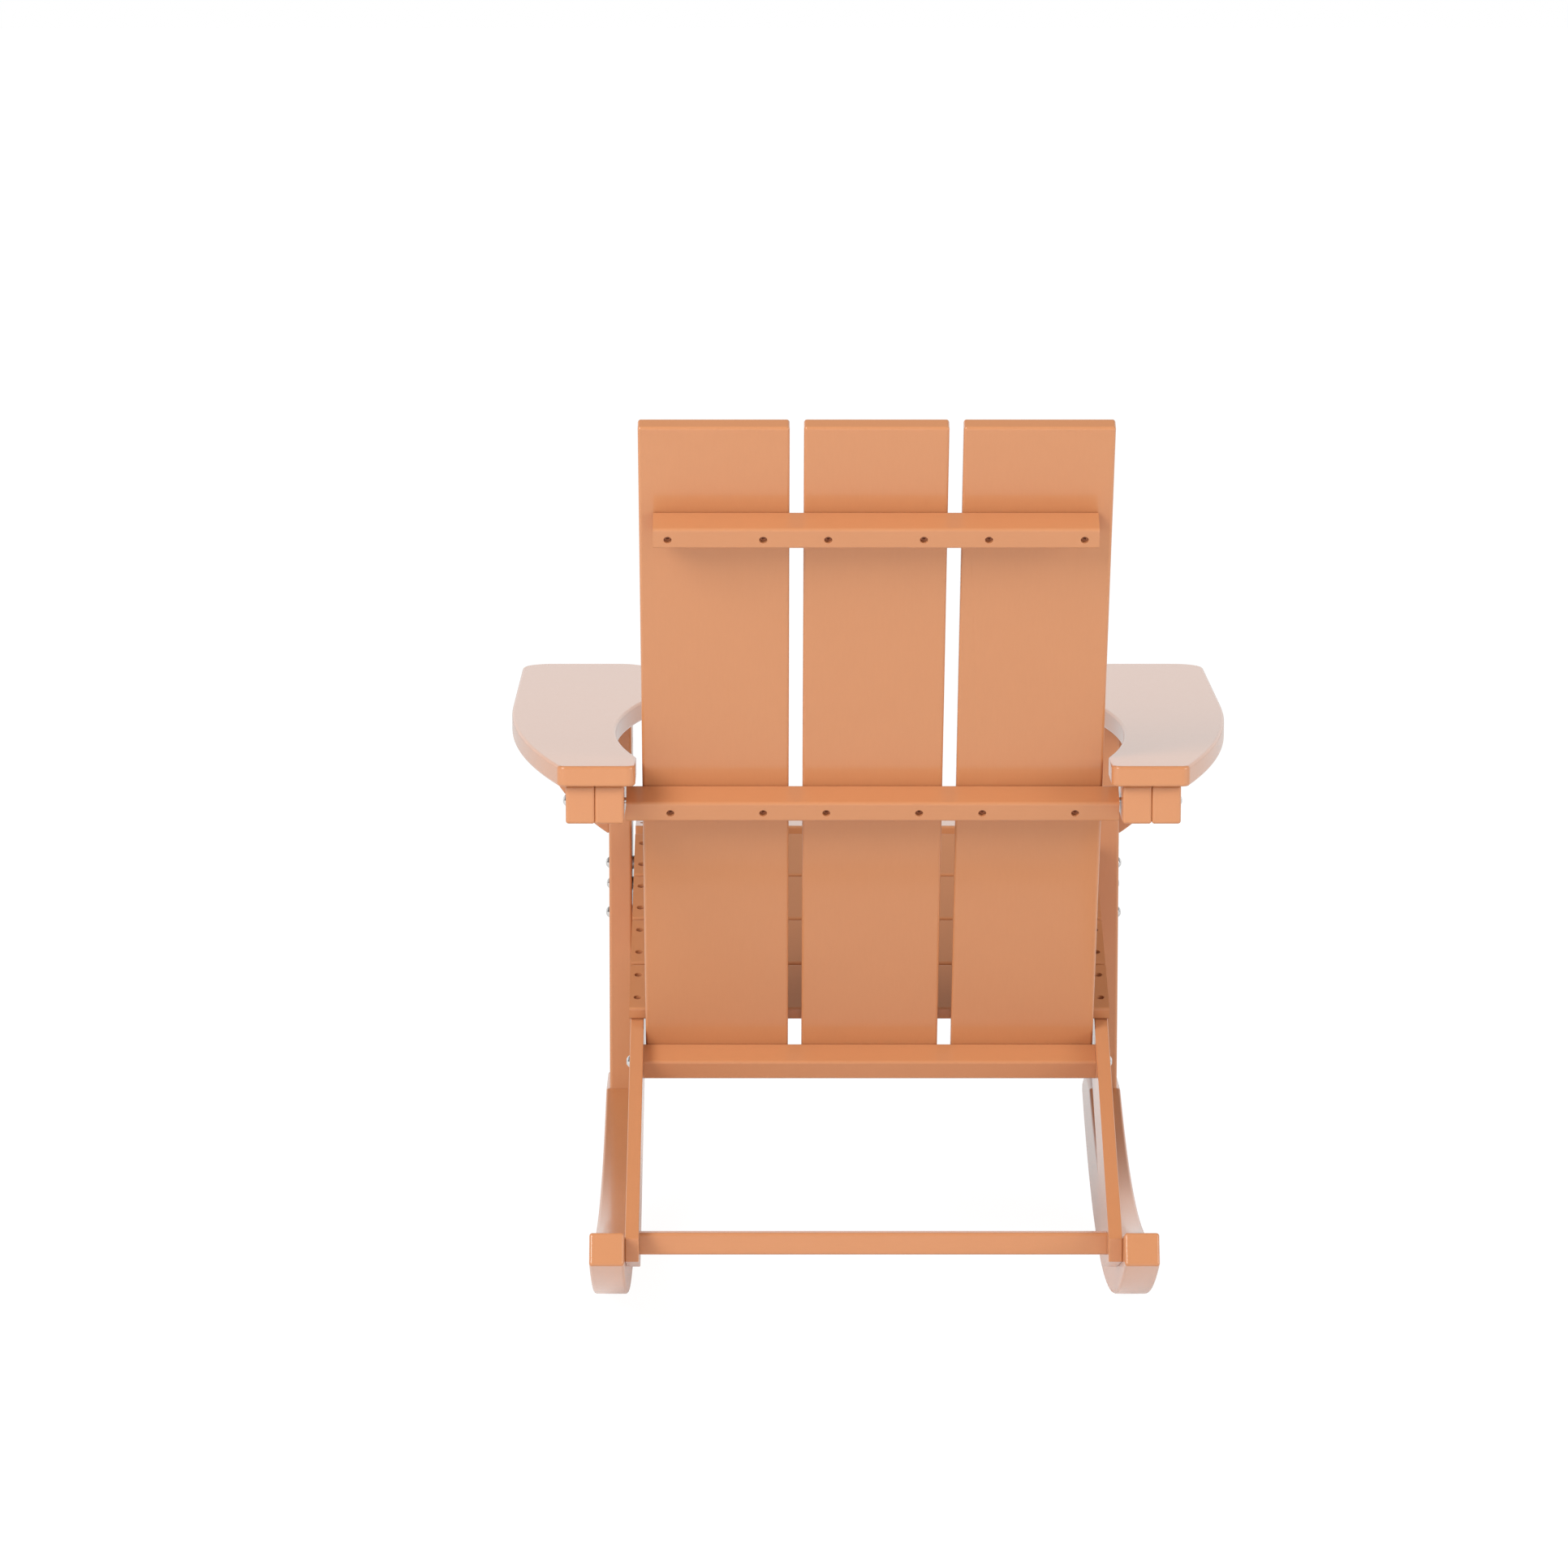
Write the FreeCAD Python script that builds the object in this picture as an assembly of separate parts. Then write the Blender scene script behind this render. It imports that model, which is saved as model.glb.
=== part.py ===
import FreeCAD, Part
import math
import os

# Rocking adirondack chair in poly lumber, millimetres.
# +Z is up, the sitter faces -Y, and the sitter's left hand is on the +X side.
# The boards are laid out in a working frame, whose origin is at the lowest point of the
# rockers' running curve. At the end they are moved together, so that the origin is on the
# floor under the middle of the chair's overall width and depth.

V = FreeCAD.Vector
inward = V(-1, 0, 0)
outward = V(1, 0, 0)
rearward = V(0, 1, 0)
upward = V(0, 0, 1)
downward = V(0, 0, -1)

# Boards in general
edge_round = 3.0            # routed round on the edges of most boards
bracket_edge_round = 2.0
stringer_edge_round = 1.2   # edges only broken
half_frame = 251.0          # middle of the chair to the stringers' outer faces
end_gap = 0.1               # end clearance of a board that fits between the stringers

# Rockers
rocker_thick = 35.0
rocker_radius = 1062.0      # running curve on the floor
rocker_kick_y = 240.0       # behind this place the running curve is tighter
rocker_kick_radius = 850.0
rocker_rear_reach = 451.0   # rear end, from the lowest point
rocker_front_reach = 445.0  # nose, from the lowest point
rocker_end_height = 34.0    # square-cut rear end
rocker_nose_height = 11.0
rocker_flat = 50.0          # short flat under the middle, on which the empty chair stands still
rocker_waist_y = 75.0       # thinnest place between the leg and the stringer
rocker_waist_depth = 72.2
rocker_toe_margin = 2.0     # level seat of the leg, past the leg's front face

# Front legs
leg_thick = 25.4
leg_depth = 90.0
leg_rear_y = -290.0
leg_foot_z = 134.0
leg_gap = 5.6               # leg to stringer, taken up by the spacers

# Stringers, the long side boards under the seat
stringer_thick = 14.0
stringer_depth = 82.0       # across the board, behind the seat
stringer_front_inset = 17.0     # behind the leg's front face
stringer_front_depth = 108.0
stringer_level_z = 417.0    # upper edge where it is level, at the front
stringer_bend_y = -280.0    # from here the upper edge slopes down to the rear
stringer_bend_lead = 48.0   # the lower edge bends this far in front of the seat's rear end
stringer_tail_inset = 48.0      # rear end, in front of the rocker's rear end
stringer_tail_height = 24.0
stringer_foot_lift = 16.5   # tail's lower corner above the rocker's running curve
stringer_foot_slope = 16.5

# Seat
seat_slope = 19.7
seat_slat_width = 92.0
seat_slat_thick = 14.0
seat_slat_gap = 3.0
seat_slope_count = 4
seat_overhang = 1.5         # slat ends past the stringers' outer faces
seat_front_gap = 3.0        # level slat in front of the bend
seat_bend_gap = 11.6        # first sloping slat behind the bend

# Front apron
apron_thick = 14.0

# Back
recline = 27.5              # back slats from the vertical
back_slat_thick = 17.0
back_slat_length = 798.2
centre_slat_width = 142.9
back_slat_gap = 14.0
back_side_gap = 2.15        # outer slats to the stringers
back_seat_gap = 3.0         # back slats behind the last seat slat
back_drop = 64.9            # back slats reach below the seat's rear edge, along the slats

# Cleats that join the back slats
cleat_height = 23.5
cleat_depth = 31.5
upper_cleat_down = 99.2     # from the slats' upper ends
upper_cleat_inset = 14.35   # from the outer slats' side edges
crossbar_drop = 26.7        # crossbar's middle below the arms' undersides
crossbar_end_gap = 1.5      # crossbar to the arm blocks

# Arms
arm_thick = 21.0
arm_width = 139.2
arm_top_z = 592.6
arm_inner_lap = 15.8        # inner edge past the leg's inner face
arm_front_overhang = 43.0   # in front of the leg
arm_rear_overhang = 61.2    # behind the crossbar's middle
arm_front_round = 32.0
arm_rear_round = 9.0
arm_side_round = 1524.0     # long curve of the outer side
arm_side_start = 313.0      # that curve starts this far behind the front end
scoop_radius = 765.0        # hollow in the inner edge
scoop_depth = 24.7
scoop_inset = 259.0         # middle of the hollow, from the rear end

# Rails and blocks under the arms
arm_rail_thick = 29.5
arm_rail_height = 39.7
arm_rail_inset = 10.0       # from the arm's rear end
arm_rail_lap = 32.0         # rail beside the leg
arm_block_thick = 29.5
arm_block_length = 119.0

# Arm brackets
bracket_width = 91.5
bracket_height = 157.0
bracket_thick = 22.0
bracket_bulge = 21.5        # outline past the straight line between its ends

# Rear stretcher
stretcher_height = 22.5
stretcher_depth = 14.0
stretcher_inset = 33.0      # rear face in front of the stringers' ends
stretcher_lift = 32.8       # underside above the running curve

# Screws
screw_head_radius = 3.8
screw_head_height = 2.5
screw_shank_radius = 2.0
screw_drive_width = 2.8     # square recess in the head
screw_drive_depth = 1.4
screw_recess_radius = 4.0
screw_fit = 0.05            # hole over shank, on the radius
bore_past = 1.0             # bores run this far out of the face that they start from
seat_screw_recess = 5.0
seat_screw_length = 36.0
seat_screw_inset = 22.5     # from the long edges of a slat
cleat_screw_recess = 6.0
cleat_screw_bite = 12.0     # into the back slat
cleat_screw_spacing = 94.5
cleat_screw_height = 10.8   # from the cleat's lower edge
side_screw_shift = 1.4      # pairs on the outer slats, towards the middle
apron_screw_recess = 4.5
apron_screw_length = 40.0
apron_screw_drops = (40.0, 82.0)    # below the apron's upper edge
stretcher_screw_recess = 4.0
stretcher_screw_length = 45.0
stretcher_screw_inset = 6.0         # from the stretcher's upper and lower faces
arm_screw_recess = 16.0
arm_screw_bite = 13.0       # into the arm
rail_screw_rear_inset = 21.0
rail_screw_front_gap = 110.0        # behind the leg's rear face
block_screw_inset = 22.0    # from the block's front end
bracket_screw_recess = 4.0
bracket_screw_bite = 26.0
bracket_screw_drops = (52.0, 122.0)     # below the arm

# Bolts
bolt_radius = 3.0
bolt_fit = 0.1              # hole over bolt, on the radius
bolt_head_radius = 6.6
bolt_head_height = 4.5
bolt_socket_flats = 5.0     # hexagonal recess in the head
bolt_socket_depth = 2.4
bolt_head_room = 0.6        # around a sunk head
washer_radius = 7.0
washer_thick = 1.2
nut_flats = 10.0
nut_height = 5.0
bolt_tail = 2.0             # thread past the nut
spacer_radius = 7.5
leg_bolt_places = ((25.0, 32.0), (62.0, 61.8), (25.0, 87.8))    # from the leg's rear face, down
rail_bolt_bite = 35.0       # into the lower back rail
crossbar_bolt_bite = 40.0
crossbar_bolt_up = 4.0      # above the crossbar's middle
front_rail_bolt_inset = 16.0        # from the leg's rear face
rocker_bolt_recess = 8.0
rocker_bolt_insets = (18.0, 58.0)   # from the stringer's rear end
rocker_bolt_lift = 30.0     # above the running curve
rocker_bolt_cover = 2.0     # board left over its tip
foot_bolt_recess = 24.0     # up into the rocker from the running curve
foot_bolt_bite = 50.0       # into the leg
foot_bolt_inset = 20.0      # from the leg's front and rear faces

# Places that several pieces share
slope = math.radians(seat_slope)
lean = math.radians(recline)
stringer_inner_x = half_frame - stringer_thick
stringer_mid_x = half_frame - stringer_thick / 2
between_x = stringer_inner_x - end_gap
rocker_outer_x = half_frame + rocker_thick
leg_inner_x = half_frame + leg_gap
leg_outer_x = leg_inner_x + leg_thick
leg_front_y = leg_rear_y - leg_depth
leg_mid_y = leg_rear_y - leg_depth / 2
stringer_front_y = leg_front_y + stringer_front_inset
stringer_tail_y = rocker_rear_reach - stringer_tail_inset
arm_under_z = arm_top_z - arm_thick
arm_inner_x = leg_inner_x - arm_inner_lap
arm_outer_x = arm_inner_x + arm_width
arm_rail_low_z = arm_under_z - arm_rail_height
arm_rail_outer_x = leg_outer_x + arm_rail_thick
arm_rail_front_y = leg_rear_y - arm_rail_lap
arm_block_inner_x = leg_outer_x - arm_block_thick
crossbar_end_x = arm_block_inner_x - crossbar_end_gap
seat_end_x = half_frame + seat_overhang
slat_pitch = seat_slat_width + seat_slat_gap
seat_run = seat_bend_gap + seat_slope_count * slat_pitch - seat_slat_gap
level_slat_rear_y = stringer_bend_y - seat_front_gap
centre_slat_x = centre_slat_width / 2
side_slat_inner_x = centre_slat_x + back_slat_gap
side_slat_outer_x = stringer_inner_x - back_side_gap
to_back_front = V(0, -math.cos(lean), math.sin(lean))


# Lines, boards and sticks
def yz(y, z, x=0.0):
    return V(x, y, z)


def line(a, b):
    return Part.LineSegment(a, b).toShape()


def arc(a, middle, b):
    return Part.Arc(a, middle, b).toShape()


def outline(points):
    return [line(a, b) for a, b in zip(points, points[1:] + points[:1])]


def board(edges, along):
    """Solid board on a closed outline, as thick as the vector along."""
    return Part.Face(Part.Wire(edges)).extrude(along)


def eased(solid, radius=edge_round):
    """The same board with its edges rounded over."""
    return solid.makeFillet(radius, solid.Edges)


def block(x0, x1, y0, y1, z0, z1):
    return Part.makeBox(x1 - x0, y1 - y0, z1 - z0, V(x0, y0, z0))


def bar(*corners):
    """Rectangular stick with all its edges rounded."""
    return eased(block(*corners))


def square_cut(along, *corners):
    """Stick rounded on the edges that run along it, with its ends cut square."""
    blank = block(*corners)
    long_edges = [edge for edge in blank.Edges if round(abs(edge.tangentAt(0).dot(along)))]
    return blank.makeFillet(edge_round, long_edges)


def rod(radius, start, direction, length):
    return Part.makeCylinder(radius, length, start, direction)


def cut_all(solid, holes):
    for hole in holes:
        solid = solid.cut(hole)
    return solid


def mirrored(shape):
    return shape.mirror(V(0, 0, 0), outward)


def group(shapes):
    return Part.makeCompound(shapes)


def both_sides(shapes):
    return group(shapes + [mirrored(shape) for shape in shapes])


def tilted(shape, base, angle):
    """Carry a shape from the origin to the point base, turned back by angle."""
    turned = shape.rotated(V(0, 0, 0), outward, -math.degrees(angle))
    return turned.translated(base)


# Fasteners
def prism(sides, flats, start, direction, length):
    """Straight bar with that many sides, flats apart, along direction from the point start."""
    across = outward if abs(direction.x) < 0.5 else upward
    aside = direction.cross(across)
    corner = flats / 2 / math.cos(math.pi / sides)
    turns = [(2 * k + 1) * math.pi / sides for k in range(sides)]
    points = [start + (across * math.cos(turn) + aside * math.sin(turn)) * corner for turn in turns]
    return board(outline(points), direction * length)


def screw(seat, direction, length):
    """Pan-head screw whose head bears on the point seat."""
    head = rod(screw_head_radius, seat, direction * -1, screw_head_height)
    solid = head.fuse(rod(screw_shank_radius, seat, direction, length)).removeSplitter()
    top = seat - direction * screw_head_height
    return solid.cut(prism(4, screw_drive_width, top, direction, screw_drive_depth))


def screw_hole(seat, direction, length, recess):
    """Room for that screw and for the way in to its head, recess deep."""
    hole = rod(screw_shank_radius + screw_fit, seat, direction, length)
    return hole.fuse(rod(screw_recess_radius, seat, direction * -1, recess + bore_past))


def bolt(seat, direction, length):
    """Dome-head bolt whose head bears on the point seat."""
    rise = (bolt_head_radius ** 2 - bolt_head_height ** 2) / (2 * bolt_head_height)
    ball = Part.makeSphere(rise + bolt_head_height, seat + direction * rise)
    head = ball.common(rod(bolt_head_radius, seat, direction * -1, bolt_head_height))
    solid = head.fuse(rod(bolt_radius, seat, direction, length)).removeSplitter()
    top = seat - direction * bolt_head_height
    return solid.cut(prism(6, bolt_socket_flats, top, direction, bolt_socket_depth))


def bolt_hole(seat, direction, length):
    return rod(bolt_radius + bolt_fit, seat, direction, length)


def head_room(seat, direction, depth):
    """Room for a sunk bolt head and the way in to it."""
    return rod(bolt_head_radius + bolt_head_room, seat, direction, depth)


def washer(seat):
    return rod(washer_radius, seat, inward, washer_thick).cut(bolt_hole(seat, inward, washer_thick))


def nut(seat):
    """Hexagon nut on a bolt that runs along X."""
    return prism(6, nut_flats, seat, inward, nut_height).cut(bolt_hole(seat, inward, nut_height))


# Points on the rocker, the sloping seat and the leaning back
def running_arc(y):
    """Radius and centre of the running curve at y."""
    if y <= rocker_kick_y:
        return rocker_radius, yz(0, rocker_radius)
    turn = math.asin(rocker_kick_y / rocker_radius)
    nearer = rocker_radius - rocker_kick_radius
    return rocker_kick_radius, yz(nearer * math.sin(turn), rocker_radius - nearer * math.cos(turn))


def running_point(y, margin=0.0):
    """Point at y on the running curve, or on the curve margin inside it."""
    radius, centre = running_arc(y)
    return yz(y, centre.z - math.sqrt((radius - margin) ** 2 - (y - centre.y) ** 2))


def seat_point(run, above=0.0):
    """Point run behind the bend and above the stringers' sloping edge."""
    return yz(stringer_bend_y + run * math.cos(slope) + above * math.sin(slope),
              stringer_level_z - run * math.sin(slope) + above * math.cos(slope))


def back_foot():
    """Lower rear corner of the back slats."""
    corner = seat_point(seat_run, seat_slat_thick)
    behind = (back_seat_gap + back_slat_thick) / math.cos(lean)
    return yz(corner.y + behind - back_drop * math.sin(lean), corner.z - back_drop * math.cos(lean))


def back_point(up, behind, x=0.0):
    """Point up along the back from its foot and behind the slats' rear faces."""
    foot = back_foot()
    return yz(foot.y + up * math.sin(lean) + behind * math.cos(lean),
              foot.z + up * math.cos(lean) - behind * math.sin(lean), x)


upper_cleat_up = back_slat_length - upper_cleat_down - cleat_height
crossbar_mid_rise = arm_under_z - crossbar_drop - back_point(0, cleat_depth / 2).z
crossbar_up = crossbar_mid_rise / math.cos(lean) - cleat_height / 2
crossbar_mid = back_point(crossbar_up + cleat_height / 2, cleat_depth / 2)
crossbar_bolt = back_point(crossbar_up + cleat_height / 2 + crossbar_bolt_up, cleat_depth / 2)
rail_bolt = back_point(cleat_height / 2, cleat_depth / 2)

arm_rear_y = crossbar_mid.y + arm_rear_overhang
arm_front_y = leg_front_y - arm_front_overhang
arm_rail_rear_y = arm_rear_y - arm_rail_inset
arm_block_front_y = arm_rail_rear_y - arm_block_length
apron_front_y = stringer_front_y - apron_thick
stretcher_rear_y = stringer_tail_y - stretcher_inset
stretcher_mid_y = stretcher_rear_y - stretcher_depth / 2
stretcher_low_z = running_point(stretcher_mid_y).z + stretcher_lift


# Bolts on the left-hand side: head seat, direction and length of each
def leg_bolts():
    grip = leg_thick + leg_gap + stringer_thick
    length = grip + washer_thick + nut_height + bolt_tail
    return [(yz(leg_rear_y - forward, stringer_level_z - drop, leg_outer_x), inward, length)
            for forward, drop in leg_bolt_places]


def front_rail_bolts():
    seat = yz(leg_rear_y - front_rail_bolt_inset, arm_under_z - arm_rail_height / 2, arm_rail_outer_x)
    grip = arm_rail_thick + leg_thick
    return [(seat, inward, grip + washer_thick + nut_height + bolt_tail)]


def crossbar_bolts():
    seat = yz(crossbar_bolt.y, crossbar_bolt.z, arm_rail_outer_x)
    return [(seat, inward, arm_rail_outer_x - crossbar_end_x + crossbar_bolt_bite)]


def lower_rail_bolts():
    seat = yz(rail_bolt.y, rail_bolt.z, half_frame)
    return [(seat, inward, half_frame - between_x + rail_bolt_bite)]


def rocker_bolts():
    """Bolts from the rocker's outer face into the stringer's tail."""
    x = rocker_outer_x - rocker_bolt_recess
    places = [stringer_tail_y - inset for inset in rocker_bolt_insets]
    length = x - stringer_inner_x - rocker_bolt_cover
    return [(yz(y, running_point(y, rocker_bolt_lift).z, x), inward, length) for y in places]


def foot_bolts():
    """Bolts from the rocker's running edge up into the leg."""
    x = leg_inner_x + leg_thick / 2
    bolts = []
    for y in (leg_front_y + foot_bolt_inset, leg_rear_y - foot_bolt_inset):
        z = running_point(y).z + foot_bolt_recess
        bolts.append((yz(y, z, x), upward, leg_foot_z - z + foot_bolt_bite))
    return bolts


def holes_for(bolts):
    return [bolt_hole(*each) for each in bolts]


# Screws on the left-hand side: head seat, direction and length of each
def seat_screws():
    """Two screws at the end of each seat slat, front slat first."""
    bore = seat_slat_thick - seat_screw_recess
    insets = (seat_screw_inset, seat_slat_width - seat_screw_inset)
    screws = []
    for inset in insets:
        seat = yz(level_slat_rear_y - inset, stringer_level_z + bore, stringer_mid_x)
        screws.append((seat, downward, seat_screw_length))
    into_slope = yz(-math.sin(slope), -math.cos(slope))
    for k in range(seat_slope_count):
        for inset in insets:
            seat = seat_point(seat_bend_gap + k * slat_pitch + inset, bore)
            screws.append((yz(seat.y, seat.z, stringer_mid_x), into_slope, seat_screw_length))
    return screws


def cleat_screws(cleat_up):
    """Two screws through a cleat into each back slat."""
    half = cleat_screw_spacing / 2
    side = (side_slat_inner_x + side_slat_outer_x) / 2 - side_screw_shift
    length = cleat_depth - cleat_screw_recess + cleat_screw_bite
    return [(back_point(cleat_up + cleat_screw_height, cleat_depth - cleat_screw_recess, middle + shift),
             to_back_front, length)
            for middle in (-side, 0.0, side) for shift in (-half, half)]


def apron_screws():
    y = apron_front_y + apron_screw_recess
    return [(yz(y, stringer_level_z - drop, stringer_mid_x), rearward, apron_screw_length)
            for drop in apron_screw_drops]


def stretcher_screws():
    heights = (stretcher_screw_inset, stretcher_height - stretcher_screw_inset)
    return [(yz(stretcher_mid_y, stretcher_low_z + height, half_frame - stretcher_screw_recess),
             inward, stretcher_screw_length) for height in heights]


def arm_screws():
    """Screws up through the rail and the block into the arm."""
    rail_x = leg_outer_x + arm_rail_thick / 2
    block_x = arm_block_inner_x + arm_block_thick / 2
    rear = arm_rail_rear_y - rail_screw_rear_inset
    front = leg_rear_y + rail_screw_front_gap
    places = [(rail_x, rear), (rail_x, (rear + front) / 2), (rail_x, front),
              (block_x, arm_block_front_y + block_screw_inset)]
    length = arm_rail_height - arm_screw_recess + arm_screw_bite
    return [(V(x, y, arm_rail_low_z + arm_screw_recess), upward, length) for x, y in places]


def bracket_screws():
    """Screws from the leg's inner face into the bracket."""
    x = leg_inner_x + bracket_screw_recess
    length = leg_thick - bracket_screw_recess + bracket_screw_bite
    return [(yz(leg_mid_y, arm_under_z - drop, x), outward, length) for drop in bracket_screw_drops]


def bores_for(screws, recess):
    return [screw_hole(seat, direction, length, recess) for seat, direction, length in screws]


# Rockers
def rocker():
    radius, centre = running_arc(rocker_rear_reach)
    low_rear = running_point(rocker_rear_reach)
    high_rear = low_rear + (centre - low_rear) * (rocker_end_height / radius)
    waist = running_point(rocker_waist_y) + upward * rocker_waist_depth
    kick = running_point(rocker_kick_y)
    heel = yz(leg_rear_y, leg_foot_z)
    toe = yz(leg_front_y - rocker_toe_margin, leg_foot_z)
    low_nose = running_point(-rocker_front_reach)
    high_nose = low_nose + upward * rocker_nose_height
    edges = [
        arc(low_nose, running_point(0), kick),
        arc(kick, running_point((rocker_kick_y + rocker_rear_reach) / 2), low_rear),
        line(low_rear, high_rear),
        arc(high_rear, waist, heel),
        line(heel, toe),
        line(toe, high_nose),
        line(high_nose, low_nose),
    ]
    solid = eased(board(edges, outward * rocker_thick)).translated(outward * half_frame)
    solid = cut_all(solid, holes_for(rocker_bolts() + foot_bolts()))
    for seat, direction, length in rocker_bolts():
        solid = solid.cut(head_room(seat, outward, rocker_bolt_recess + bore_past))
    for seat, direction, length in foot_bolts():
        solid = solid.cut(head_room(seat, downward, seat.z))
    half = rocker_flat / 2
    flat_z = running_point(half).z
    return solid.cut(block(half_frame, rocker_outer_x, -half, half, -flat_z, flat_z))


# Front legs
def front_leg():
    solid = square_cut(upward, leg_inner_x, leg_outer_x, leg_front_y, leg_rear_y,
                       leg_foot_z, arm_under_z)
    solid = cut_all(solid, holes_for(leg_bolts() + front_rail_bolts() + foot_bolts()))
    return cut_all(solid, bores_for(bracket_screws(), bracket_screw_recess))


# Stringers
def stringer():
    seat_end = seat_point(seat_run + seat_slat_gap)
    foot = running_point(stringer_tail_y) + upward * stringer_foot_lift
    tail_top = foot + upward * stringer_tail_height
    fall = (seat_end.z - tail_top.z) / (stringer_tail_y - seat_end.y)
    tail_low_z = tail_top.z - stringer_depth / math.cos(math.atan(fall))
    foot_rise = math.tan(math.radians(stringer_foot_slope))
    foot_length = (foot.z - tail_low_z) / (fall + foot_rise)
    lower_bend_y = seat_end.y - stringer_bend_lead
    points = [
        yz(stringer_front_y, stringer_level_z),
        yz(stringer_bend_y, stringer_level_z),
        seat_end,
        tail_top,
        foot,
        foot - yz(foot_length, foot_length * foot_rise),
        yz(lower_bend_y, tail_low_z + (stringer_tail_y - lower_bend_y) * fall),
        yz(stringer_front_y, stringer_level_z - stringer_front_depth),
    ]
    solid = eased(board(outline(points), outward * stringer_thick), stringer_edge_round)
    solid = solid.translated(outward * stringer_inner_x)
    solid = cut_all(solid, holes_for(leg_bolts() + lower_rail_bolts() + rocker_bolts()))
    solid = cut_all(solid, bores_for(seat_screws(), seat_screw_recess))
    solid = cut_all(solid, bores_for(apron_screws(), apron_screw_recess))
    return cut_all(solid, bores_for(stretcher_screws(), stretcher_screw_recess))


# Seat slats, one level in front and the rest down the slope
def seat_slats():
    blank = square_cut(outward, -seat_end_x, seat_end_x, 0, seat_slat_width, 0, seat_slat_thick)
    slats = [blank.translated(yz(level_slat_rear_y - seat_slat_width, stringer_level_z))]
    for k in range(seat_slope_count):
        slats.append(tilted(blank, seat_point(seat_bend_gap + k * slat_pitch), slope))
    bores = bores_for(seat_screws(), seat_screw_recess)
    drilled = []
    for k, slat in enumerate(slats):
        pair = bores[2 * k:2 * k + 2]
        drilled.append(cut_all(slat, pair + [mirrored(bore) for bore in pair]))
    return drilled


# Front apron across the stringers' front ends
def front_apron():
    solid = square_cut(outward, -seat_end_x, seat_end_x, apron_front_y, stringer_front_y,
                       stringer_level_z - stringer_front_depth, stringer_level_z)
    bores = bores_for(apron_screws(), apron_screw_recess)
    return cut_all(solid, bores + [mirrored(bore) for bore in bores])


# Back slats and the cleats behind them
def back_slat(x0, x1):
    solid = tilted(bar(x0, x1, -back_slat_thick, 0, 0, back_slat_length), back_foot(), lean)
    screws = cleat_screws(upper_cleat_up) + cleat_screws(crossbar_up)
    return cut_all(solid, bores_for(screws, cleat_screw_recess))


def cleat(half_length, cleat_up):
    stick = square_cut(outward, -half_length, half_length, 0, cleat_depth,
                       cleat_up, cleat_up + cleat_height)
    return tilted(stick, back_foot(), lean)


def upper_back_cleat():
    solid = cleat(side_slat_outer_x - upper_cleat_inset, upper_cleat_up)
    return cut_all(solid, bores_for(cleat_screws(upper_cleat_up), cleat_screw_recess))


def arm_crossbar():
    solid = cleat(crossbar_end_x, crossbar_up)
    solid = cut_all(solid, bores_for(cleat_screws(crossbar_up), cleat_screw_recess))
    holes = holes_for(crossbar_bolts())
    return cut_all(solid, holes + [mirrored(hole) for hole in holes])


def lower_back_rail():
    holes = holes_for(lower_rail_bolts())
    return cut_all(cleat(between_x, 0), holes + [mirrored(hole) for hole in holes])


# Arms, with the rail, block and bracket under each
def arm_side_x(y):
    """The outer side, where it curves in towards the rear."""
    along = y - arm_front_y - arm_side_start
    return arm_outer_x - arm_side_round + math.sqrt(arm_side_round ** 2 - along ** 2)


def arm():
    z = arm_under_z
    side_start_y = arm_front_y + arm_side_start
    side_mid_y = (side_start_y + arm_rear_y) / 2
    scoop_y = arm_rear_y - scoop_inset
    scoop_half = math.sqrt(scoop_radius ** 2 - (scoop_radius - scoop_depth) ** 2)
    rear_inner = V(arm_inner_x, arm_rear_y, z)
    scoop_rear = V(arm_inner_x, scoop_y + scoop_half, z)
    scoop_deep = V(arm_inner_x + scoop_depth, scoop_y, z)
    scoop_front = V(arm_inner_x, scoop_y - scoop_half, z)
    front_inner = V(arm_inner_x, arm_front_y, z)
    front_outer = V(arm_outer_x, arm_front_y, z)
    side_start = V(arm_outer_x, side_start_y, z)
    side_mid = V(arm_side_x(side_mid_y), side_mid_y, z)
    rear_outer = V(arm_side_x(arm_rear_y), arm_rear_y, z)
    edges = [
        line(rear_inner, scoop_rear),
        arc(scoop_rear, scoop_deep, scoop_front),
        line(scoop_front, front_inner),
        line(front_inner, front_outer),
        line(front_outer, side_start),
        arc(side_start, side_mid, rear_outer),
        line(rear_outer, rear_inner),
    ]
    solid = board(edges, upward * arm_thick)
    solid = solid.makeFillet(arm_front_round, upright_edges(solid, arm_front_y))
    solid = solid.makeFillet(arm_rear_round, upright_edges(solid, arm_rear_y))
    return cut_all(eased(solid), bores_for(arm_screws(), arm_screw_recess))


def upright_edges(solid, y):
    """The corners of the arm's outline that lie at y."""
    return [edge for edge in solid.Edges
            if edge.BoundBox.ZLength > arm_thick / 2 and abs(edge.BoundBox.Center.y - y) < edge_round]


def arm_rail():
    solid = bar(leg_outer_x, arm_rail_outer_x, arm_rail_front_y, arm_rail_rear_y,
                arm_rail_low_z, arm_under_z)
    solid = cut_all(solid, holes_for(front_rail_bolts() + crossbar_bolts()))
    return cut_all(solid, bores_for(arm_screws(), arm_screw_recess))


def arm_block():
    solid = bar(arm_block_inner_x, leg_outer_x, arm_block_front_y, arm_rail_rear_y,
                arm_rail_low_z, arm_under_z)
    solid = cut_all(solid, holes_for(crossbar_bolts()))
    return cut_all(solid, bores_for(arm_screws(), arm_screw_recess))


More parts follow.
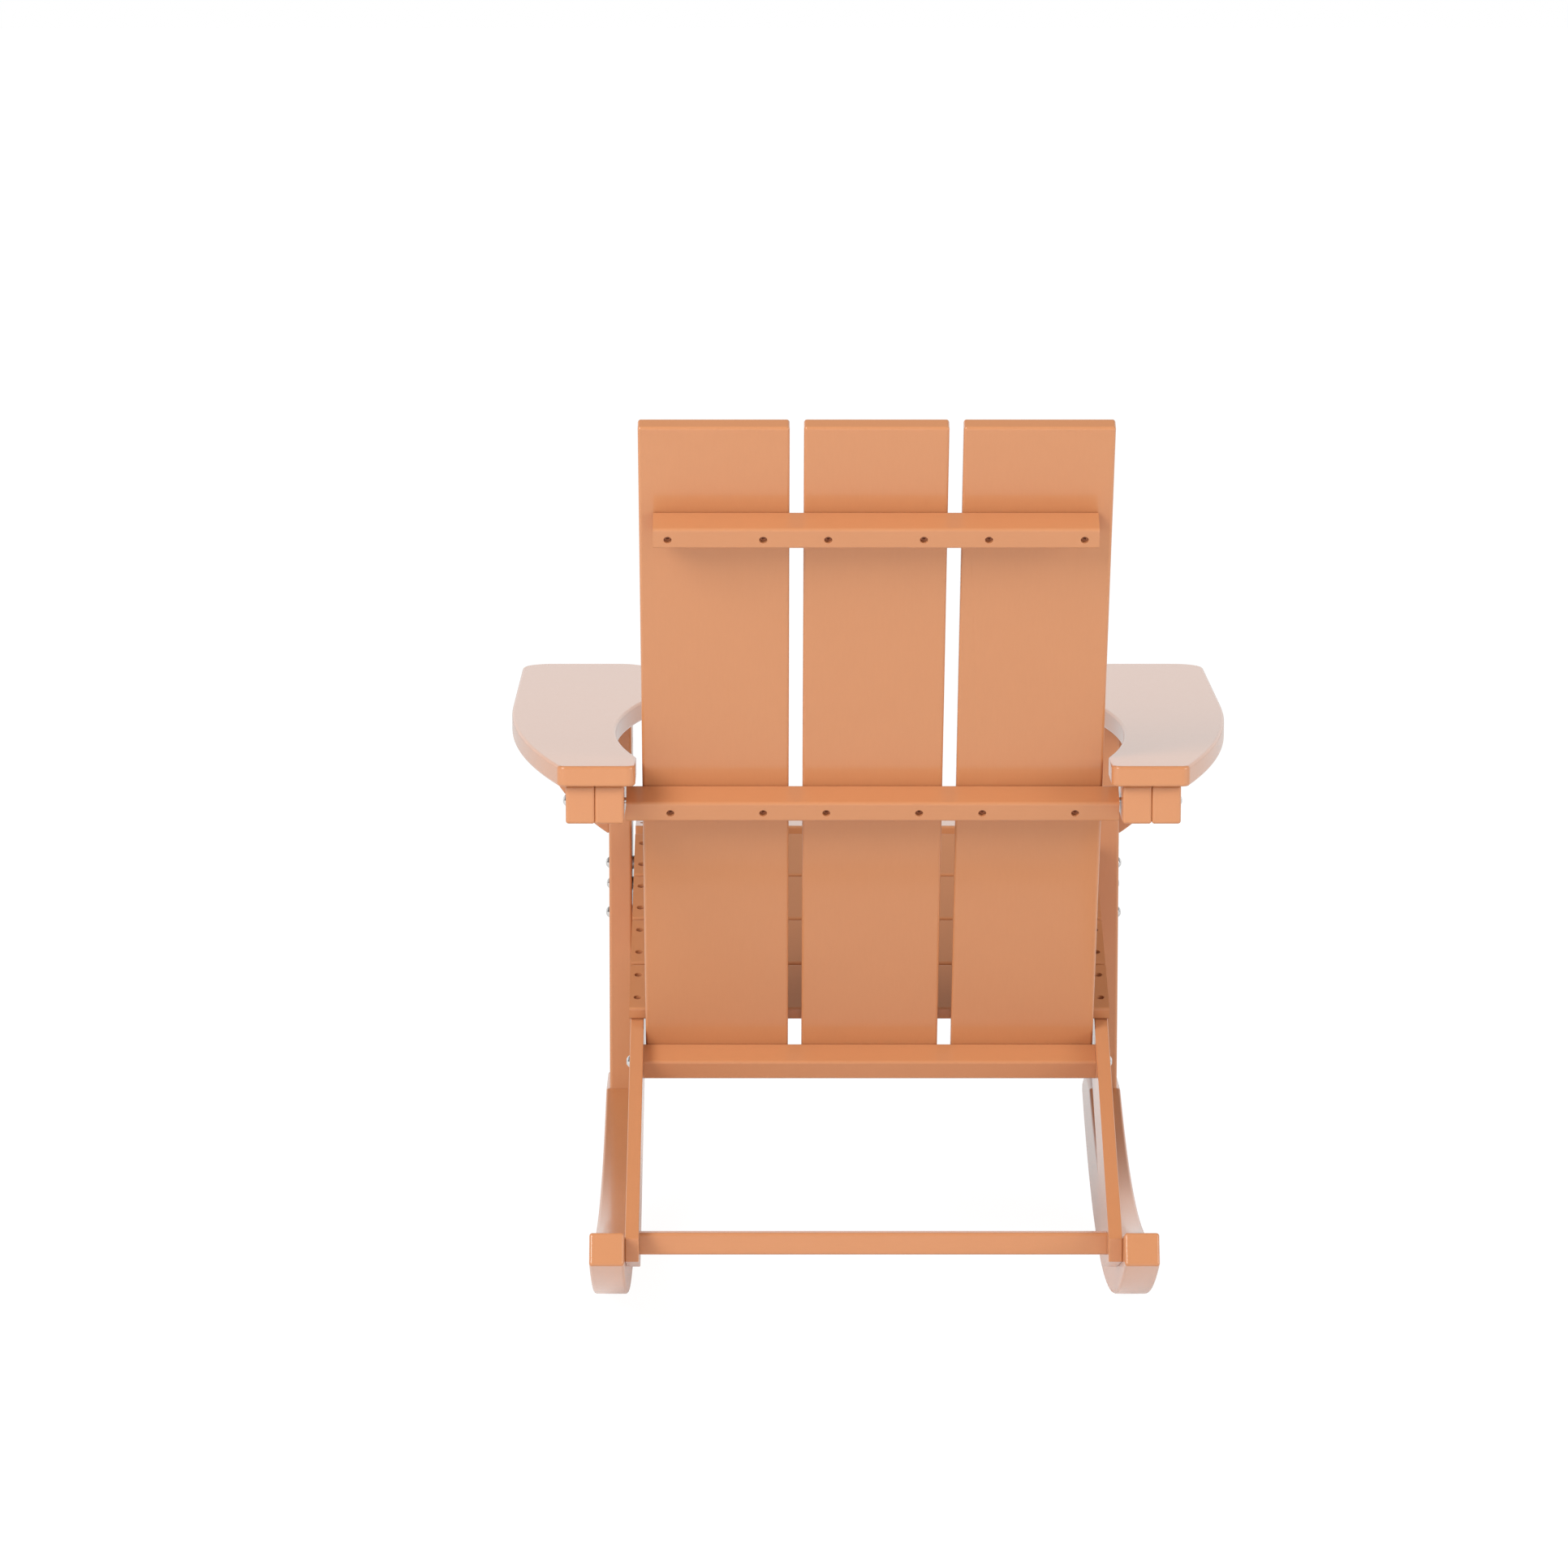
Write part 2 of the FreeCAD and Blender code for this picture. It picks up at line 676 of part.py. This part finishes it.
def arm_bracket():
    y = leg_mid_y - bracket_thick / 2
    corner = V(leg_outer_x, y, arm_under_z)
    tip = corner + outward * bracket_width
    toe = corner + downward * bracket_height
    off_chord = V(bracket_height, 0, -bracket_width).normalize()
    middle = (tip + toe) * 0.5 + off_chord * bracket_bulge
    edges = [line(toe, corner), line(corner, tip), arc(tip, middle, toe)]
    solid = eased(board(edges, rearward * bracket_thick), bracket_edge_round)
    return cut_all(solid, bores_for(bracket_screws(), bracket_screw_recess))


# Rear stretcher between the stringers' tails
def rear_stretcher():
    solid = square_cut(outward, -between_x, between_x, stretcher_rear_y - stretcher_depth,
                       stretcher_rear_y, stretcher_low_z, stretcher_low_z + stretcher_height)
    bores = bores_for(stretcher_screws(), stretcher_screw_recess)
    return cut_all(solid, bores + [mirrored(bore) for bore in bores])


# Groups of fasteners
def leg_spacers():
    rings = []
    for seat, direction, length in leg_bolts():
        face = yz(seat.y, seat.z, leg_inner_x)
        rings.append(rod(spacer_radius, face, inward, leg_gap).cut(bolt_hole(face, inward, leg_gap)))
    return both_sides(rings)


def nut_faces():
    """Where a washer lies on the far face of what a bolt clamps."""
    faces = [yz(seat.y, seat.z, stringer_inner_x) for seat, direction, length in leg_bolts()]
    faces += [yz(seat.y, seat.z, leg_inner_x) for seat, direction, length in front_rail_bolts()]
    return faces


def bolt_group(bolts):
    return both_sides([bolt(*each) for each in bolts])


def screw_group(screws):
    return both_sides([screw(*each) for each in screws])


def cleat_screw_group(cleat_up):
    return group([screw(*each) for each in cleat_screws(cleat_up)])


# All the pieces by name
pieces = {
    "back_slat_left": back_slat(side_slat_inner_x, side_slat_outer_x),
    "back_slat_centre": back_slat(-centre_slat_x, centre_slat_x),
    "back_slat_right": back_slat(-side_slat_outer_x, -side_slat_inner_x),
    "upper_back_cleat": upper_back_cleat(),
    "arm_crossbar": arm_crossbar(),
    "lower_back_rail": lower_back_rail(),
    "front_apron": front_apron(),
    "rear_stretcher": rear_stretcher(),
    "upper_cleat_screws": cleat_screw_group(upper_cleat_up),
    "crossbar_screws": cleat_screw_group(crossbar_up),
    "seat_screws": screw_group(seat_screws()),
    "apron_screws": screw_group(apron_screws()),
    "stretcher_screws": screw_group(stretcher_screws()),
    "arm_screws": screw_group(arm_screws()),
    "bracket_screws": screw_group(bracket_screws()),
    "leg_bolts": bolt_group(leg_bolts()),
    "front_rail_bolts": bolt_group(front_rail_bolts()),
    "crossbar_bolts": bolt_group(crossbar_bolts()),
    "lower_rail_bolts": bolt_group(lower_rail_bolts()),
    "rocker_bolts": bolt_group(rocker_bolts()),
    "foot_bolts": bolt_group(foot_bolts()),
    "leg_spacers": leg_spacers(),
    "washers": both_sides([washer(face) for face in nut_faces()]),
    "nuts": both_sides([nut(face + inward * washer_thick) for face in nut_faces()]),
}
for number, slat in enumerate(seat_slats(), start=1):
    pieces["seat_slat_%d" % number] = slat
for name, make in (("rocker", rocker), ("front_leg", front_leg), ("stringer", stringer), ("arm", arm),
                   ("arm_rail", arm_rail), ("arm_block", arm_block), ("arm_bracket", arm_bracket)):
    left = make()
    pieces[name + "_left"] = left
    pieces[name + "_right"] = mirrored(left)

# The origin goes under the middle of the chair
whole_chair = Part.Compound(list(pieces.values()))
reach = whole_chair.optimalBoundingBox(False, False)
to_origin = V(0, -(reach.YMin + reach.YMax) / 2, -reach.ZMin)
os.makedirs("parts", exist_ok=True)
for name, shape in pieces.items():
    shape.translated(to_origin).exportStep("parts/%s.step" % name)
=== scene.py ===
import bpy
import math
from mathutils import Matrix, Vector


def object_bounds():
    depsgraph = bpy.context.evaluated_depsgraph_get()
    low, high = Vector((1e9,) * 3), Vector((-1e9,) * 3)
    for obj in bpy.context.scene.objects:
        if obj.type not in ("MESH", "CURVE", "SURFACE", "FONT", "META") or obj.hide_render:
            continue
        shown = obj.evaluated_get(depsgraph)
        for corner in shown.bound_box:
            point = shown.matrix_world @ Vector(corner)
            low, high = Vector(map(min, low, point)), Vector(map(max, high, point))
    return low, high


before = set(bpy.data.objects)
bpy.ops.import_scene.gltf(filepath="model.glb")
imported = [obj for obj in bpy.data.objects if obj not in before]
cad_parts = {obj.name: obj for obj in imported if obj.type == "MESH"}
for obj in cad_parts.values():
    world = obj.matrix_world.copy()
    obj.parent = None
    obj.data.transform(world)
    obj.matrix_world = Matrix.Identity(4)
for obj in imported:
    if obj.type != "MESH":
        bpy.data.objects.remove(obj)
cad_low, cad_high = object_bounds()


# Rockers: two curved runners, sawn from thick boards of foamed plastic lumber and bolted to
# the legs and the stringers. The colour goes right through. The skin is satin, with a fine
# mottle that is drawn out along the board.
lumber_dark = (0.585, 0.246, 0.106)
lumber_pale = (0.597, 0.254, 0.110)
lumber_ior = 1.42
skin_weight = 0.75
skin_ior = 1.38
skin_roughness = 0.12
dull_low, dull_high = 0.28, 0.29
cloud_scale = 14.0
fleck_scale = 380.0
dull_scale = 220.0
pore_scale = 900.0
pore_depth = 0.0002
grain_scale = 240.0
grain_depth = 0.0003
moulded_smooth = 0.004      # share of the pores' and the grain's depth that is left
drawn_out = 0.16            # the mottle's scale along a board
along_y = (1.0, drawn_out, 1.0)
noise_roughness = 0.55
noise_low, noise_high = 0.32, 0.68      # nearly all of a noise lies between these


def empty_material(name):
    """A node material with a Principled shader and nothing else yet."""
    material = bpy.data.materials.new(name)
    material.use_nodes = True
    tree = material.node_tree
    tree.nodes.clear()
    shader = tree.nodes.new("ShaderNodeBsdfPrincipled")
    output = tree.nodes.new("ShaderNodeOutputMaterial")
    tree.links.new(shader.outputs["BSDF"], output.inputs["Surface"])
    return material, tree, shader


def place_on_piece(tree, turn=0.0, stretch=(1.0, 1.0, 1.0)):
    """Object coordinates, turned about X to lie along a board and stretched."""
    source = tree.nodes.new("ShaderNodeTexCoord")
    turned = tree.nodes.new("ShaderNodeVectorRotate")
    turned.rotation_type = "X_AXIS"
    turned.inputs["Angle"].default_value = turn
    stretched = tree.nodes.new("ShaderNodeVectorMath")
    stretched.operation = "MULTIPLY"
    stretched.inputs[1].default_value = stretch
    tree.links.new(source.outputs["Object"], turned.inputs["Vector"])
    tree.links.new(turned.outputs["Vector"], stretched.inputs[0])
    return stretched.outputs["Vector"]


def mottle(tree, place, scale, detail, low=0.0, high=1.0):
    """Noise at that place, spread from low to high."""
    noise = tree.nodes.new("ShaderNodeTexNoise")
    noise.inputs["Scale"].default_value = scale
    noise.inputs["Detail"].default_value = detail
    noise.inputs["Roughness"].default_value = noise_roughness
    spread = tree.nodes.new("ShaderNodeMapRange")
    spread.inputs["From Min"].default_value = noise_low
    spread.inputs["From Max"].default_value = noise_high
    spread.inputs["To Min"].default_value = low
    spread.inputs["To Max"].default_value = high
    tree.links.new(place, noise.inputs["Vector"])
    tree.links.new(noise.outputs["Fac"], spread.inputs["Value"])
    return spread.outputs["Result"]


def between(tree, share, first, second):
    """Colour from first to second by that share."""
    blend = tree.nodes.new("ShaderNodeMix")
    blend.data_type = "RGBA"
    tree.links.new(share, blend.inputs["Factor"])
    blend.inputs[6].default_value = (*first, 1.0)
    blend.inputs[7].default_value = (*second, 1.0)
    return blend.outputs[2]


def average(tree, first, second):
    """The value halfway between two."""
    half = tree.nodes.new("ShaderNodeMix")
    half.inputs["Factor"].default_value = 0.5
    tree.links.new(first, half.inputs["A"])
    tree.links.new(second, half.inputs["B"])
    return half.outputs["Result"]


def raised(tree, height, depth, strength, under=None):
    """Bump of that depth in metres and that strength, over the one under it."""
    bump = tree.nodes.new("ShaderNodeBump")
    bump.inputs["Distance"].default_value = depth
    bump.inputs["Strength"].default_value = strength
    tree.links.new(height, bump.inputs["Height"])
    if under is not None:
        tree.links.new(under, bump.inputs["Normal"])
    return bump.outputs["Normal"]


def lumber(name, stretch, turn=0.0):
    """Satin plastic lumber whose mottle is drawn out by stretch."""
    material, tree, shader = empty_material(name)
    even = place_on_piece(tree, turn)
    drawn = place_on_piece(tree, turn, stretch)
    cloud = mottle(tree, even, cloud_scale, 4.0)
    fleck = mottle(tree, drawn, fleck_scale, 2.0)
    colour = between(tree, average(tree, cloud, fleck), lumber_dark, lumber_pale)
    dull = mottle(tree, even, dull_scale, 3.0, dull_low, dull_high)
    tree.links.new(colour, shader.inputs["Base Color"])
    tree.links.new(dull, shader.inputs["Roughness"])
    shader.inputs["IOR"].default_value = lumber_ior
    shader.inputs["Coat Weight"].default_value = skin_weight
    shader.inputs["Coat IOR"].default_value = skin_ior
    shader.inputs["Coat Roughness"].default_value = skin_roughness
    pores = raised(tree, mottle(tree, even, pore_scale, 2.0), pore_depth, moulded_smooth)
    grain = raised(tree, mottle(tree, drawn, grain_scale, 4.0), grain_depth, moulded_smooth, pores)
    tree.links.new(grain, shader.inputs["Normal"])
    return material


def dress(material, *names):
    """Give that material to the nodes of those names."""
    for name in names:
        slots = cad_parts[name].data.materials
        slots.clear()
        slots.append(material)


rocker_lumber = lumber("rocker_lumber", along_y)
dress(rocker_lumber, "rocker_left", "rocker_right")


# Front legs: straight boards that stand on the rockers and carry the arms. They are cut
# square at both ends, and their long edges are routed round.
along_z = (1.0, 1.0, drawn_out)
leg_lumber = lumber("leg_lumber", along_z)
dress(leg_lumber, "front_leg_left", "front_leg_right")


# Stringers: the long side boards under the seat. They are bolted to the legs in front and
# to the rockers behind, and they slope down to the rear with the seat.
seat_slope = math.radians(19.7)
stringer_lumber = lumber("stringer_lumber", along_y, seat_slope)
dress(stringer_lumber, "stringer_left", "stringer_right")


# Seat: five slats and the front apron, screwed across the stringers. The screws are sunk
# below the face at each end.
along_x = (drawn_out, 1.0, 1.0)
seat_lumber = lumber("seat_lumber", along_x)
dress(seat_lumber, "seat_slat_1", "seat_slat_2", "seat_slat_3", "seat_slat_4", "seat_slat_5",
      "front_apron")


# Back: three long slats, which fan out a little and lean with the back. They stand in front
# of the lower rail and are screwed to the cleats behind them.
back_lean = math.radians(27.5)
back_lumber = lumber("back_lumber", along_z, back_lean)
dress(back_lumber, "back_slat_left", "back_slat_centre", "back_slat_right")


# Cleats and rails: square sticks across the back and between the side boards' tails. Their
# ends are sawn square, their long edges are routed, and screws or bolts hold them.
cleat_lumber = lumber("cleat_lumber", along_x, back_lean)
dress(cleat_lumber, "upper_back_cleat", "arm_crossbar", "lower_back_rail", "rear_stretcher")


# Arms: wide boards, scooped on the inner side beside the back and rounded at the front. The
# rail and the block under each arm are bolted to the leg and to the crossbar.
arm_lumber = lumber("arm_lumber", along_y)
dress(arm_lumber, "arm_left", "arm_right", "arm_rail_left", "arm_rail_right",
      "arm_block_left", "arm_block_right")


# Arm brackets: curved props between the legs and the arms' outer halves, screwed on from
# the legs' inner faces.
bracket_lumber = lumber("bracket_lumber", along_z)
dress(bracket_lumber, "arm_bracket_left", "arm_bracket_right")


# Screws: pan heads with a square recess, coated to match the lumber. They sit at the bottom
# of their holes, and their colours are the coat darkened by painted shade of the holes.
# Both coat colours have the holes' shade painted into them; the wear mottle blends between them.
coat_dark_painted_shade = (0.300, 0.105, 0.045)
coat_pale_painted_shade = (0.420, 0.160, 0.070)
coat_dull = 0.42
coat_wear_scale = 600.0
coat_wear_depth = 0.0002
coat_wear_strength = 0.1
screw_coat_painted_shade, tree, shader = empty_material("screw_coat_painted_shade")
worn = mottle(tree, place_on_piece(tree), coat_wear_scale, 3.0)
tree.links.new(between(tree, worn, coat_dark_painted_shade, coat_pale_painted_shade), shader.inputs["Base Color"])
shader.inputs["Roughness"].default_value = coat_dull
tree.links.new(raised(tree, worn, coat_wear_depth, coat_wear_strength), shader.inputs["Normal"])
dress(screw_coat_painted_shade, "upper_cleat_screws", "crossbar_screws", "seat_screws", "apron_screws",
      "stretcher_screws", "arm_screws", "bracket_screws")


# Bolts: stainless steel, with polished dome heads and a hexagonal socket. Polishing leaves
# faint marks on the head.
bolt_colour = (0.74, 0.73, 0.72)
bolt_dull_low, bolt_dull_high = 0.06, 0.10
polish_stretch = (6.0, 1.0, 1.0)
polish_dull_scale = 700.0
polish_scale = 900.0
polish_depth = 0.0002
polish_strength = 0.08


def steel(name, colour, low, high):
    """Stainless steel whose roughness goes from low to high."""
    material, tree, shader = empty_material(name)
    drawn = place_on_piece(tree, 0.0, polish_stretch)
    dull = mottle(tree, drawn, polish_dull_scale, 2.0, low, high)
    marks = raised(tree, mottle(tree, drawn, polish_scale, 2.0), polish_depth, polish_strength)
    shader.inputs["Base Color"].default_value = (*colour, 1.0)
    shader.inputs["Metallic"].default_value = 1.0
    tree.links.new(dull, shader.inputs["Roughness"])
    tree.links.new(marks, shader.inputs["Normal"])
    return material


bolt_steel = steel("bolt_steel", bolt_colour, bolt_dull_low, bolt_dull_high)
dress(bolt_steel, "leg_bolts", "front_rail_bolts", "crossbar_bolts", "lower_rail_bolts",
      "rocker_bolts", "foot_bolts")


# Nuts, washers and spacers: the same steel, left as turned and stamped, so it is duller
# than the bolts' heads.
nut_colour = (0.50, 0.50, 0.51)
nut_dull_low, nut_dull_high = 0.22, 0.34
nut_steel = steel("nut_steel", nut_colour, nut_dull_low, nut_dull_high)
dress(nut_steel, "nuts", "washers", "leg_spacers")


# Floor: plain and pale. The camera and reflections see it almost white, with the chair's
# soft shadow left on it.
floor_colour = (0.90, 0.90, 0.90)
floor_size = 60.0
floor_glow = 0.85           # share of that white, over the painted floor
floor_white = 1.12
floor_gloss = 0.3           # how far reflections see that white


def of_both(tree, operation, first, second):
    """Two values put together by that operation of a Math node."""
    result = tree.nodes.new("ShaderNodeMath")
    result.operation = operation
    tree.links.new(first, result.inputs[0])
    tree.links.new(second, result.inputs[1])
    return result.outputs["Value"]


def seen_directly(tree, gloss=1.0):
    """1 for camera and transmission rays, gloss for glossy rays, 0 for light on the chair."""
    rays = tree.nodes.new("ShaderNodeLightPath")
    in_gloss = tree.nodes.new("ShaderNodeMath")
    in_gloss.operation = "MULTIPLY"
    in_gloss.inputs[1].default_value = gloss
    tree.links.new(rays.outputs["Is Glossy Ray"], in_gloss.inputs[0])
    plain = of_both(tree, "MAXIMUM", rays.outputs["Is Camera Ray"],
                    rays.outputs["Is Transmission Ray"])
    return of_both(tree, "MAXIMUM", plain, in_gloss.outputs["Value"])


bpy.ops.object.select_all(action="DESELECT")
bpy.ops.mesh.primitive_plane_add(size=floor_size)
floor = bpy.context.active_object
floor.name = "floor"
floor_paint = bpy.data.materials.new("floor_paint")
floor_paint.use_nodes = True
tree = floor_paint.node_tree
tree.nodes.clear()
paint = tree.nodes.new("ShaderNodeBsdfDiffuse")
paint.inputs["Color"].default_value = (*floor_colour, 1.0)
glow = tree.nodes.new("ShaderNodeEmission")
glow.inputs["Strength"].default_value = floor_white
share = tree.nodes.new("ShaderNodeMath")
share.operation = "MULTIPLY"
share.inputs[1].default_value = floor_glow
painted = tree.nodes.new("ShaderNodeMixShader")
output = tree.nodes.new("ShaderNodeOutputMaterial")
tree.links.new(seen_directly(tree, floor_gloss), share.inputs[0])
tree.links.new(share.outputs["Value"], painted.inputs["Fac"])
tree.links.new(paint.outputs["BSDF"], painted.inputs[1])
tree.links.new(glow.outputs["Emission"], painted.inputs[2])
tree.links.new(painted.outputs["Shader"], output.inputs["Surface"])
floor.data.materials.append(floor_paint)


# Studio: an even white room, dimmer as light than it looks. Reflections see the white
# backdrop that stands in front of the chair, and above and behind it a dim room.
room_light = 0.57
room_dim = 0.22
white = (1.0, 1.0, 1.0, 1.0)
backdrop_front, backdrop_back = -0.3, 0.1       # along Y: white up to the first, dim past the second
backdrop_low, backdrop_high = 0.3, 0.65         # upwards, likewise


def falling(tree, value, full, none):
    """1 up to the value full, and from there down to 0 at the value none."""
    fall = tree.nodes.new("ShaderNodeMapRange")
    fall.inputs["From Min"].default_value = full
    fall.inputs["From Max"].default_value = none
    fall.inputs["To Min"].default_value = 1.0
    fall.inputs["To Max"].default_value = 0.0
    tree.links.new(value, fall.inputs["Value"])
    return fall.outputs["Result"]


studio = bpy.data.worlds.new("studio")
bpy.context.scene.world = studio
studio.use_nodes = True
tree = studio.node_tree
tree.nodes.clear()
heading = tree.nodes.new("ShaderNodeTexCoord")
parts = tree.nodes.new("ShaderNodeSeparateXYZ")
tree.links.new(heading.outputs["Generated"], parts.inputs["Vector"])
backdrop = of_both(tree, "MULTIPLY",
                   falling(tree, parts.outputs["Y"], backdrop_front, backdrop_back),
                   falling(tree, parts.outputs["Z"], backdrop_low, backdrop_high))
rays = tree.nodes.new("ShaderNodeLightPath")
whiteness = of_both(tree, "MAXIMUM", backdrop, rays.outputs["Is Camera Ray"])
strength = tree.nodes.new("ShaderNodeMapRange")
strength.inputs["To Min"].default_value = room_dim
tree.links.new(whiteness, strength.inputs["Value"])
lit = tree.nodes.new("ShaderNodeBackground")
lit.inputs["Color"].default_value = white
lit.inputs["Strength"].default_value = room_light
seen = tree.nodes.new("ShaderNodeBackground")
seen.inputs["Color"].default_value = white
tree.links.new(strength.outputs["Result"], seen.inputs["Strength"])
room = tree.nodes.new("ShaderNodeMixShader")
output = tree.nodes.new("ShaderNodeOutputWorld")
tree.links.new(seen_directly(tree), room.inputs["Fac"])
tree.links.new(lit.outputs["Background"], room.inputs[1])
tree.links.new(seen.outputs["Background"], room.inputs[2])
tree.links.new(room.outputs["Shader"], output.inputs["Surface"])


# Lamps: a large soft box behind the chair, to the left of the camera, and a weaker one to
# the right that fills the shadows.
main_place = (3.2, 3.8, 3.4)
main_size = 2.6
main_power = 212.0
fill_place = (-4.0, 2.4, 1.8)
fill_size = 2.4
fill_power = 78.0
chair_middle = (cad_low + cad_high) / 2


def soft_box(name, place, size, power):
    """Square soft box of that size and power in watts, turned to the middle of the chair."""
    light = bpy.data.lights.new(name, "AREA")
    light.size = size
    light.energy = power
    lamp = bpy.data.objects.new(name, light)
    bpy.context.scene.collection.objects.link(lamp)
    lamp.location = place
    lamp.rotation_euler = (chair_middle - lamp.location).to_track_quat("-Z", "Y").to_euler()


soft_box("main_lamp", main_place, main_size, main_power)
soft_box("fill_lamp", fill_place, fill_size, fill_power)


# Camera: behind the chair, a little to its left and looking down, with a long lens.
camera_place = (0.1120, 6.84716, 1.62031)
camera_pitch = 9.1
lens_length = 150.33
lens_shift = 0.01359
sensor_width = 36.0
sight_end = 200.0
lens = bpy.data.cameras.new("camera")
lens.lens = lens_length
lens.sensor_width = sensor_width
lens.shift_x = lens_shift
lens.clip_end = sight_end
camera = bpy.data.objects.new("camera", lens)
bpy.context.scene.collection.objects.link(camera)
camera.location = camera_place
camera.rotation_euler = (math.radians(90.0 - camera_pitch), 0.0, math.pi)
bpy.context.scene.camera = camera
bpy.context.scene.view_settings.view_transform = "Standard"
